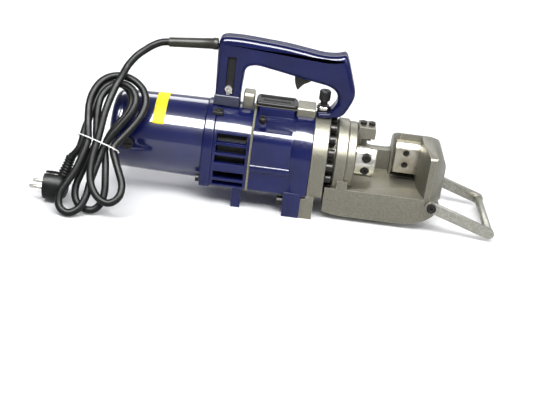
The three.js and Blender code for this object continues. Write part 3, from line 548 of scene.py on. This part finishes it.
def block(name, low, high, look, width=0.8, segments=3):
    """A machined block with rounded edges."""
    build = bmesh.new()
    bmesh.ops.create_cube(build, size=1)
    middle = (Vector(low) + Vector(high)) / 2 * MM
    size = (Vector(high) - Vector(low)) * MM
    for vertex in build.verts:
        vertex.co = middle + Vector([a * b for a, b in zip(vertex.co, size)])
    bmesh.ops.bevel(build, geom=build.edges[:], offset=width * MM, segments=segments, profile=0.5,
                    affect="EDGES")
    mesh = bpy.data.meshes.new(name)
    build.to_mesh(mesh)
    build.free()
    mesh.materials.append(look)
    return placed(name, mesh)


def carve(thing, cutters):
    """Cuts the cutters out of a piece, then removes them."""
    for cutter in cutters:
        cut = thing.modifiers.new("cut", "BOOLEAN")
        cut.operation = "DIFFERENCE"
        cut.solver = "MANIFOLD"
        cut.object = cutter
    bpy.context.view_layer.update()
    settled = thing.evaluated_get(bpy.context.evaluated_depsgraph_get())
    mesh = bpy.data.meshes.new_from_object(settled)
    thing.modifiers.clear()
    thing.data = mesh
    for cutter in cutters:
        bpy.data.objects.remove(cutter)
    mesh.shade_smooth()
    mesh.set_sharp_from_angle(angle=SHARP_ANGLE)


def joined(name, parts, look):
    """One piece made of several separate shells."""
    build = bmesh.new()
    for part in parts:
        build.from_mesh(part.data)
        bpy.data.objects.remove(part)
    mesh = bpy.data.meshes.new(name)
    build.to_mesh(mesh)
    build.free()
    mesh.materials.append(look)
    return placed(name, mesh)


def add(piece, slot, *replaced, body="housing"):
    """Gives a piece its body and hides the nodes that it replaces; the slot is not used."""
    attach(piece, body)
    if replaced:
        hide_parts(*replaced)
    return piece


# ---------------------------------------------------------------- mains lead
# The free stretch from the sleeve to the bundle.
FREE_ROUTE = [
    (-206, 0, 210.6), (-212, -0.2, 209.8), (-217, -0.7, 208.6), (-227, -3, 204), (-237, -6, 197),
    (-246, -11, 190), (-253, -16, 182), (-258, -21, 174.5),
]
# The bundle leans on the motor: x, distance up the lean, and height off the leaning plane.
BUNDLE_FOOT = Vector((0, -140, 5))
BUNDLE_UP = Vector((0, 90, 130)).normalized()
BUNDLE_OUT = Vector((1, 0, 0)).cross(BUNDLE_UP)
BUNDLE_ROUTE = [
    # down the front to the right-hand lower loop
    (-262, 193, 3), (-267, 178, 7), (-272, 158, 9), (-276, 137, 9.5), (-278, 117, 9.5), (-280, 98, 9.5),
    (-283, 76, 9.5), (-283, 55, 9.5), (-278, 36, 9.5), (-266, 21, 9.5), (-252, 17, 9), (-241, 26, 8),
    (-239, 42, 6), (-245, 58, 4), (-253, 75, 1), (-259, 93, 0),
    # up the right, over the outer top loop and down the left
    (-250, 108, -1), (-238, 126, -2), (-229, 144, -3), (-226, 162, -4), (-232, 179, -6),
    (-246, 191, -8), (-263, 196, -9.5), (-279, 193, -9), (-291, 183, -6), (-298, 167, -2),
    (-300, 149, 2), (-298, 130, 5), (-295, 112, 7), (-293, 98, 7),
    # the left-hand lower loop
    (-297, 77, 7), (-303, 56, 6.5), (-312, 37, 6), (-319, 20, 5.5), (-317, 5, 5), (-305, -2, 5),
    (-292, 5, 4), (-285, 21, 3), (-282, 45, 1.5), (-277, 70, 0.5), (-271, 95, 0.5),
    # the inner top loop
    (-263, 110, 3), (-251, 128, 5), (-241, 145, 6), (-238, 160, 6), (-243, 173, 5), (-254, 181, 2),
    (-266, 182, -2), (-278, 175, -3), (-286, 162, -2), (-288, 146, -1), (-287, 128, -1),
    (-285, 112, -1), (-283, 98, -0.5),
    # the middle lower loop, behind the others
    (-290, 78, -3), (-297, 56, -6), (-302, 36, -7), (-299, 18, -7.5), (-287, 8, -7.5),
    (-274, 8, -7.5), (-265, 19, -7.5), (-263, 35, -7.5), (-265, 54, -7.5), (-268, 74, -8.5),
    (-272, 95, -9.5),
    # the hidden top loop and the end that goes to the plug
    (-268, 112, -9.5), (-258, 130, -9.5), (-248, 148, -9.5), (-246, 165, -9.5), (-255, 180, -9.5),
    (-269, 185, -9.8), (-283, 179, -9.5), (-292, 165, -9.5), (-296, 148, -8), (-299, 130, -6),
    (-302, 113, -4.5), (-303, 98, -4.5), (-306, 87, -6.5), (-311, 80, -9), (-315.5, 76, -10.8),
]


def lean(x, up, out):
    """A point of the leaning bundle, in millimetres in the part's frame."""
    return BUNDLE_FOOT + Vector((x, 0, 0)) + BUNDLE_UP * up + BUNDLE_OUT * out


def smooth_curve(points, steps):
    """A centripetal Catmull-Rom line through the points."""
    padded = [2 * points[0] - points[1], *points, 2 * points[-1] - points[-2]]
    made = []
    for a, b, c, d in zip(padded, padded[1:], padded[2:], padded[3:]):
        t0 = 0.0
        t1 = t0 + math.sqrt((b - a).length)
        t2 = t1 + math.sqrt((c - b).length)
        t3 = t2 + math.sqrt((d - c).length)
        for k in range(steps):
            t = t1 + (t2 - t1) * k / steps
            p = a * (t1 - t) / (t1 - t0) + b * (t - t0) / (t1 - t0)
            q = b * (t2 - t) / (t2 - t1) + c * (t - t1) / (t2 - t1)
            r = c * (t3 - t) / (t3 - t2) + d * (t - t2) / (t3 - t2)
            u = p * (t2 - t) / (t2 - t0) + q * (t - t0) / (t2 - t0)
            v = q * (t3 - t) / (t3 - t1) + r * (t - t1) / (t3 - t1)
            made.append(u * (t2 - t) / (t2 - t1) + v * (t - t1) / (t2 - t1))
    made.append(points[-1])
    return made


def wire(name, points, radius, look, closed=False, resolution=6):
    """A round wire along points in millimetres, as a curve of one spline."""
    data = bpy.data.curves.new(name, "CURVE")
    data.dimensions = "3D"
    data.bevel_depth = radius * MM
    data.bevel_resolution = resolution
    data.use_fill_caps = True
    spline = data.splines.new("POLY")
    spline.points.add(len(points) - 1)
    for spot, place in zip(spline.points, points):
        spot.co = (*(place * MM), 1)
    spline.use_cyclic_u = closed
    data.materials.append(look)
    made = bpy.data.objects.new(name, data)
    scene.collection.objects.link(made)
    return made


def mains_cord():
    points = [Vector(p) for p in FREE_ROUTE] + [lean(*p) for p in BUNDLE_ROUTE]
    route = smooth_curve(points, 4)
    length = sum((b - a).length for a, b in zip(route, route[1:]))
    print("cord length in mm:", round(length, 1))
    cord = wire("mains_cord", route, CORD_DIAMETER / 2, RUBBER)
    return add(cord, "black_rubber", "cord_tube", "cord_bundle")


def squared(value):
    """Bulges a sine or cosine outward, so that a round band becomes boxier."""
    return math.copysign(abs(value) ** 0.7, value)


def twist_tie():
    """A white wire band round the bundle's waist."""
    middle_x, middle_up, tilt = -280, 97, 0.3
    half_width, half_depth, wire_radius = 28.5, 15.6, 0.9
    count = 40
    ring = []
    for i in range(count):
        angle = 2 * math.pi * i / count
        x = middle_x + half_width * squared(math.cos(angle))
        up = middle_up - (x - middle_x) * tilt
        ring.append(lean(x, up, half_depth * squared(math.sin(angle))))
    band = wire("twist_tie", ring, wire_radius, TIE, closed=True, resolution=3)
    return add(band, "black_plastic")


def ribbed_relief(name, start, end, base_radius, tip_radius, ribs, collar, look):
    """A tapered sleeve with rounded ribs between a collar and a plain tip."""
    along = Vector(end) - Vector(start)
    length = along.length
    profile = [(0, 0), (0, base_radius - 0.6), (0.6, base_radius), (collar - 0.6, base_radius),
               (collar, base_radius - 0.6), (collar, base_radius - 1.8)]
    ribbed = length - collar - 6
    pitch = ribbed / ribs
    for i in range(ribs):
        at = collar + i * pitch
        radius = base_radius + (tip_radius - base_radius) * (i + 0.5) / ribs
        profile += [(at + pitch * 0.3, radius - 1.6), (at + pitch * 0.36, radius - 0.4),
                    (at + pitch * 0.48, radius), (at + pitch * 0.82, radius),
                    (at + pitch * 0.94, radius - 0.4), (at + pitch, radius - 1.6)]
    profile += [(length - 5, tip_radius), (length - 0.8, tip_radius), (length, tip_radius - 0.8),
                (length, 0)]
    return lathe(name, profile, start, along, look, sides=40)


PLUG_CENTRE = Vector((-330, -100, 21))


def plug_pieces():
    """A round two-pin plug with side earth contacts and a ribbed relief."""
    x, y, z = PLUG_CENTRE
    face = x - 17
    flat_reach, clip_reach, pin_reach = 17.6, 16.2, 9.5  # distances from the plug's middle
    pin_radius = 2.4
    body = lathe("plug_body", [
        (6, 0), (6, 12.5), (1.2, 14), (0, 15.2), (0, 18.6), (0.8, 19.3), (9, 19.7), (20, 19.2), (25, 17.6),
        (29, 14), (31, 9), (31.5, 0),
    ], (face, y, z), (1, 0, 0), RUBBER, sides=64)
    flats = []
    for side in (-1, 1):
        level = z + side * flat_reach
        flats.append(block("cut", (face - 2, y - 4.5, level - 3), (face + 24, y + 4.5, level + 3), RUBBER))
    carve(body, flats)
    add(body, "black_plastic", "plug")
    pins = []
    for side in (-1, 1):
        pins.append(lathe("pin", [
            (0, 0), (0.4, 1.6), (1.6, pin_radius), (22, pin_radius), (25, pin_radius), (25, 0),
        ], (x - 36, y + side * pin_reach, z), (1, 0, 0), STEEL, sides=24))
    pin_pair = add(joined("plug_pins", pins, STEEL), "bright_steel")
    clips = []
    for side in (-1, 1):
        level = z + side * clip_reach
        clips.append(block("clip", (face + 1, y - 3.2, level - 0.7), (face + 20, y + 3.2, level + 0.7),
                           STEEL, 0.4))
    clip_pair = add(joined("plug_earth_clips", clips, STEEL), "bright_steel")
    relief = ribbed_relief("plug_relief", (x + 5, y + 1, z + 5), lean(-315.2, 76.6, -10.6),
                           base_radius=9.2, tip_radius=6.4, ribs=6, collar=9, look=RUBBER)
    add(relief, "black_rubber")
    return [body, pin_pair, clip_pair, relief]


TIE = tie_plastic()
dress_nodes()
cord = mains_cord()
twist_tie()
plug = plug_pieces()
sleeve_run = Vector(SLEEVE_END) - Vector(SLEEVE_START)
sleeve = lathe("cord_sleeve", [
    (0, 0), (0, 7.6), (0.8, 8.2), (6.5, 8.2), (7.4, 7.5), (30, 7.0), (sleeve_run.length - 3, 6.5),
    (sleeve_run.length - 0.6, 6.4), (sleeve_run.length, 5.8), (sleeve_run.length, 0),
], SLEEVE_START, sleeve_run, OLIVE)
add(sleeve, "black_rubber", "strain_relief")


# ---------------------------------------------------------------- motor stripe
def motor_stripe():
    """A thin yellow band that lies over the top of the motor tube."""
    low, high, steps = math.radians(33), math.radians(147), 48
    taper = 2.0  # how much the tube widens from its rear to its front
    rear, front, bevel = -215.5, -199.0, 0.3
    layers = [(rear, 0.02), (rear + bevel, bevel), (front - bevel, bevel), (front, 0.02)]
    vertices, faces = [], []
    for x, rise in layers:
        along = (x - MOTOR_TUBE_X[0]) / (MOTOR_TUBE_X[1] - MOTOR_TUBE_X[0])
        radius = MOTOR_RADIUS - taper * (1 - along) + rise
        for i in range(steps + 1):
            angle = low + (high - low) * i / steps
            place = Vector((x, -radius * math.cos(angle), AXIS_Z + radius * math.sin(angle)))
            vertices.append(place * MM)
    width = steps + 1
    for ring in range(len(layers) - 1):
        for i in range(steps):
            a = ring * width + i
            faces.append((a, a + 1, a + width + 1, a + width))
    stripe = mesh_object("motor_stripe", vertices, faces, yellow_tape())
    thickness = stripe.modifiers.new("thickness", "SOLIDIFY")
    thickness.thickness = 0.25 * MM
    thickness.offset = -1
    add(stripe, "blue_paint")


motor_stripe()

# ---------------------------------------------------------------- handle
HANDLE_OUTLINE = [
    (-135, 112, 15), (-138, 214, 14), (-136, 231, 15), (-108, 232.5, 20), (-44, 229, 20), (8, 222, 14),
    (27, 224, 8), (36, 228, 9), (42, 216, 9), (50, 192, 10), (57, 172, 14), (50, 152, 9), (42, 138, 9),
    (7, 133, 8), (7, 142.5, 8), (24, 143, 5), (33, 158, 8), (31, 172, 7), (20, 180, 10), (-8, 184, 10),
    (-42, 190, 10), (-84, 197, 10), (-98, 192, 9), (-101, 150, 10), (-98, 112, 15),
]
HANDLE_ROUNDING = 8.5
SEAM_ROUNDING = 0.7
FRONT_FOOT = (36.0, 150.0)  # the handle's thin front foot lies behind and below this point


def rod_cutter(a, b, radius, sides=48):
    """A round bar from a to b, to be cut out of the handle."""
    along = Vector(b) - Vector(a)
    return lathe("cut", [(0, radius), (along.length, radius)], a, along, MOULDING, sides)


def handle_cutters():
    """Rooms inside the handle for the trigger, switch, valve, cord and its bolt."""
    rear_seat, front_seat = 58.9, 58.4  # radii of the housings that the handle's feet sit on
    return [
        rod_cutter((-145, 0, AXIS_Z), (-60, 0, AXIS_Z), rear_seat, 96),
        rod_cutter((0, 0, AXIS_Z), (44, 0, AXIS_Z), front_seat, 96),
        block("cut", (-34, -8.5, 160), (1, 8.5, 203), MOULDING, 1),
        block("cut", (-52, -9.5, 199), (1, 9.5, 217), MOULDING, 1),
        rod_cutter((VALVE_X, 0, 120), (VALVE_X, 0, 190), 10.5),
        rod_cutter((-150, 0, 216), (-60, 0, 211), 6.2),
        rod_cutter((HANDLE_BOLT_X, -30, HANDLE_BOLT_Z), (HANDLE_BOLT_X, 30, HANDLE_BOLT_Z), 3.3, 24),
        block("cut", (-123, -24, 152), (-111, -12, 206), MOULDING, 1.5),
    ]


def handle_inset_share(point):
    """The thin front foot is rounded less than the rest of the handle."""
    reach = 12
    past = max(0, point.x - FRONT_FOOT[0], point.y - FRONT_FOOT[1])
    return 0.3 + 0.7 * min(1, past / reach)


def handle_half(name, side, node):
    rings = rounded_rings(side * HANDLE_SEAM, side * HANDLE_HALF_WIDTH, HANDLE_ROUNDING,
                          SEAM_ROUNDING, steps=8)
    half = plate(name, HANDLE_OUTLINE, rings, MOULDING, share=handle_inset_share)
    carve(half, handle_cutters())
    add(half, "blue_plastic", node)


handle_half("handle_shell_near", -1, "handle_near_half")
handle_half("handle_shell_far", 1, "handle_far_half")


def trigger_grip():
    grip = plate("trigger_grip", [
        (-31, 196, 2), (-4, 196, 2), (-1, 187, 3), (-9, 181, 5), (-17, 177, 5), (-24, 167, 4),
        (-29, 178, 5),
    ], rounded_rings(-8, 8, 2.4), OLIVE)
    add(grip, "black_plastic", "trigger", body="trigger_lever")


trigger_grip()


# ---------------------------------------------------------------- small hardware
def socket_screw(name, seat, direction, radius, height, look=None):
    """A cap screw's head with its socket, seated at `seat`."""
    rim = 0.6
    socket = radius * 0.52
    return lathe(name, [
        (0, 0), (0, radius), (height - rim, radius), (height, radius - rim), (height, socket + 0.4),
        (height - 0.4, socket), (height * 0.45, socket), (height * 0.45, 0),
    ], seat, direction, look or OXIDE, sides=24)


def ring_screws():
    """The screws of the ring that stand between the eight of the CAD."""
    count, seat_x, head_radius, head_height = 8, 28.3, 6.2, 9
    heads = []
    for i in range(count):
        angle = 2 * math.pi * i / count
        seat = (seat_x, RING_SCREW_CIRCLE * math.cos(angle), AXIS_Z + RING_SCREW_CIRCLE * math.sin(angle))
        heads.append(socket_screw("head", seat, (1, 0, 0), head_radius, head_height))
    add(joined("ring_screws_between", heads, OXIDE), "dark_steel")


def handle_foot_blocks():
    """Plates on both sides of the rear post's foot, whose paler blue-grey is a painted reflection of the
    backdrop.
    """
    inner, outer, bevel = 9, 16.8, 0.8
    for name, side in (("near", -1), ("far", 1)):
        # the plates' blue-grey is a painted reflection of the backdrop
        foot = plate(f"post_foot_{name}", [
            (-137, 135.5, 2), (-136.6, 150, 2), (-101.5, 150, 2), (-101, 135.5, 2),
        ], [(side * inner, 0), (side * (outer - bevel), 0), (side * outer, 1.0)], BACKDROP_REFLECTION)
        add(foot, "blue_plastic")


def post_bracket():
    """The black bracket with its screw between the post's foot and the fan housing."""
    bar = block("bar", (-135, -33.5, 126.5), (-121, -17.5, 131.5), BLACK, 0.8)
    head = socket_screw("head", (-128, -27, 131), (0, -0.4, 1), 4, 3.5)
    add(joined("post_bracket", [bar, head], BLACK), "dark_steel")


def channel_hardware():
    """A silver nut and clamp at the lower end of the post's channel, and a black sheet over the channel's
    back wall, painted shade in the recess, with a black strip on it.
    """
    clamp = block("clamp", (-121, -15.6, 153.2), (-112.8, -11.5, 156.2), STEEL, 0.5)
    nut = lathe("nut", [(0, 0), (0, 3.2), (2.2, 3.2), (2.6, 2.6), (2.6, 0)], (-118.5, -12.2, 150.8),
                (0, -1, 0), STEEL, sides=6, sharp_angle=NUT_SHARP_ANGLE)
    add(joined("channel_hardware", [clamp, nut], STEEL), "bright_steel")
    # black sheet over the channel's back wall: painted shade in the recess
    shade_sheet = block("channel_shade_sheet", (-122.6, -12.8, 152.6), (-111.4, -11.8, 205.4), BLACK, 0.3)
    strip = block("channel_strip", (-119, -13.4, 166), (-115.5, -12.6, 203), BLACK, 0.3)
    add(joined("channel_shade_lining", [shade_sheet, strip], BLACK), "black_plastic")


def top_casting():
    """The bare casting that shows between the cover and the valve."""
    casting = plate("top_casting", [(-17.5, 133, 2), (17.5, 133, 2), (17.5, 146.5, 4), (-17.5, 146.5, 4)],
                    [(-20.4, 1), (-19.6, 0), (4, 0), (5, 1)], CAST, axis="X")
    add(casting, "cast_steel")


def cover_gasket():
    """A thin sheet that shows round the foot of the cover."""
    rear, front = -78.6, -20.6
    bottom, top = 142.02, 142.28
    reach = COVER_HALF_WIDTH + 0.7
    sheet = block("cover_gasket", (rear, -reach, bottom), (front, reach, top), GASKET, 0.1, 1)
    add(sheet, "gasket_sheet")


def cover_ridges():
    """Two raised ridges along the cover's long edges."""
    rear, front = -75, -24
    inset, half_width = 2.2, 0.8  # how far a ridge's middle lies inside the cover's edge
    for name, side in (("near", -1), ("far", 1)):
        y = side * (COVER_HALF_WIDTH - inset)
        ridge = block(f"cover_ridge_{name}", (rear, y - half_width, COVER_TOP - 0.2),
                      (front, y + half_width, COVER_TOP + 0.8), BLACK, 0.35)
        add(ridge, "black_plastic")


def valve_dressing():
    """A knurled cap with its arm over the release valve's knob, and the nut at the valve's foot."""
    ribs, sides, knurl = 18, 72, 0.35
    knurled_from = 7.2  # rings wider than this are knurled
    bottom, top = VALVE_CAP_SPAN
    profile = [(bottom, 7.0), (158, 7.6), (169.5, 7.6), (top, 6.6), (top, 2.5), (170.2, 2.0)]
    vertices = []
    for height, radius in profile:
        for i in range(sides):
            angle = 2 * math.pi * i / sides
            depth = knurl * math.cos(ribs * angle) if radius > knurled_from else 0
            reach = radius + depth
            place = Vector((VALVE_X + reach * math.cos(angle), reach * math.sin(angle), height))
            vertices.append(place * MM)
    faces = ring_faces(len(profile), sides)
    faces += [end_face(0, sides), end_face(len(profile) - 1, sides)]
    cap = mesh_object("release_cap", vertices, faces, BLACK)
    arm = lathe("arm", [(0, 0), (0, 2.4), (13, 2.2), (14.4, 1.6), (14.8, 0)], (VALVE_X, -6, 164.2),
                (0, -0.98, -0.2), BLACK, sides=24)
    add(joined("release_handle", [cap, arm], BLACK), "black_plastic", "release_lever",
        body="release_knob")
    nut = lathe("valve_nut", [(0, 0), (0, 8.8), (0.6, 9.4), (4.4, 9.4), (5, 8.8), (5, 0)],
                (VALVE_X, 0, 143.4), (0, 0, 1), STEEL, sides=6, sharp_angle=NUT_SHARP_ANGLE)
    add(nut, "bright_steel")


def foot_bolts():
    """The bolts beside the two front feet."""
    seat_x, out, up = -24.8, 49, 18
    for name, side in (("near", -1), ("far", 1)):
        bolt = socket_screw(f"foot_bolt_{name}", (seat_x, side * out, up), (-1, 0, 0), 6.5, 9, BLACK)
        add(bolt, "dark_steel")


def fan_shroud():
    """A dark drum round the fan, closed at its rear, so that no light shows through the air slots."""
    inner, outer, rear, length = 44, 46.5, -124, 39
    tube = lathe("fan_shroud", [
        (0, inner), (0, outer), (length, outer), (length, inner), (0, inner),
    ], (rear, 0, AXIS_Z), (1, 0, 0), BLACK, sides=64)
    add(tube, "black_plastic")


fan_shroud()
ring_screws()
handle_foot_blocks()
post_bracket()
channel_hardware()
top_casting()
cover_gasket()
cover_ridges()
valve_dressing()
foot_bolts()


# ---------------------------------------------------------------- lights, floor and world
def area_light(name, place, target, size, power, diffuse=True):
    data = bpy.data.lights.new(name, "AREA")
    data.shape = "RECTANGLE"
    data.size, data.size_y = size
    data.energy = power
    light = bpy.data.objects.new(name, data)
    scene.collection.objects.link(light)
    light.location = place
    light.rotation_euler = (Vector(target) - Vector(place)).to_track_quat("-Z", "Y").to_euler()
    light.visible_camera = False
    light.visible_diffuse = diffuse


def make_world():
    """Bright near the horizon and to the right, dimmer overhead and to the left."""
    world = bpy.data.worlds.new("studio")
    scene.world = world
    world.use_nodes = True
    nodes, links = world.node_tree.nodes, world.node_tree.links
    coordinates = nodes.new("ShaderNodeTexCoord")
    parts = nodes.new("ShaderNodeSeparateXYZ")
    shade = nodes.new("ShaderNodeValToRGB")
    shade.color_ramp.elements[0].position = 0.0
    shade.color_ramp.elements[0].color = (0.95, 0.96, 1.0, 1)
    shade.color_ramp.elements[1].position = 0.45
    shade.color_ramp.elements[1].color = (0.25, 0.26, 0.3, 1)
    links.new(coordinates.outputs["Generated"], parts.inputs["Vector"])
    links.new(parts.outputs["Z"], shade.inputs["Fac"])
    side = nodes.new("ShaderNodeMapRange")
    side.inputs["From Min"].default_value = -0.9
    side.inputs["From Max"].default_value = 0.2
    side.inputs["To Min"].default_value = 0.25
    side.inputs["To Max"].default_value = 0.8
    links.new(parts.outputs["X"], side.inputs["Value"])
    links.new(shade.outputs["Color"], nodes["Background"].inputs["Color"])
    links.new(side.outputs["Result"], nodes["Background"].inputs["Strength"])


def make_floor():
    mesh = bpy.data.meshes.new("floor")
    reach = 6.0
    corners = [(-reach, -reach, 0), (reach, -reach, 0), (reach, reach, 0), (-reach, reach, 0)]
    mesh.from_pydata(corners, [], [(0, 1, 2, 3)])
    floor = bpy.data.objects.new("floor", mesh)
    scene.collection.objects.link(floor)
    look = new_material("floor_paper", (0.94, 0.94, 0.94), 0.0, 0.8)
    vary_color(look, (0.93, 0.93, 0.93), (0.95, 0.95, 0.95), 3)
    mesh.materials.append(look)


make_world()
make_floor()
area_light("softbox_top", (-0.1, -0.75, 1.35), (-0.05, 0, 0.1), (2.0, 0.7), 26)
area_light("softbox_highlight", (-0.1, -0.75, 1.34), (-0.05, 0, 0.1), (1.9, 0.62), 190, diffuse=False)
area_light("softbox_left", (-1.5, -0.9, 0.9), (0, 0, 0.1), (0.8, 0.8), 2.5)
area_light("softbox_right", (1.6, -0.7, 0.8), (0, 0, 0.1), (0.7, 0.9), 12)
area_light("softbox_back", (0.1, 1.7, 1.3), (0, 0.5, 0), (2.6, 0.7), 34)
scene.view_settings.view_transform = "Standard"
scene.view_settings.look = "None"
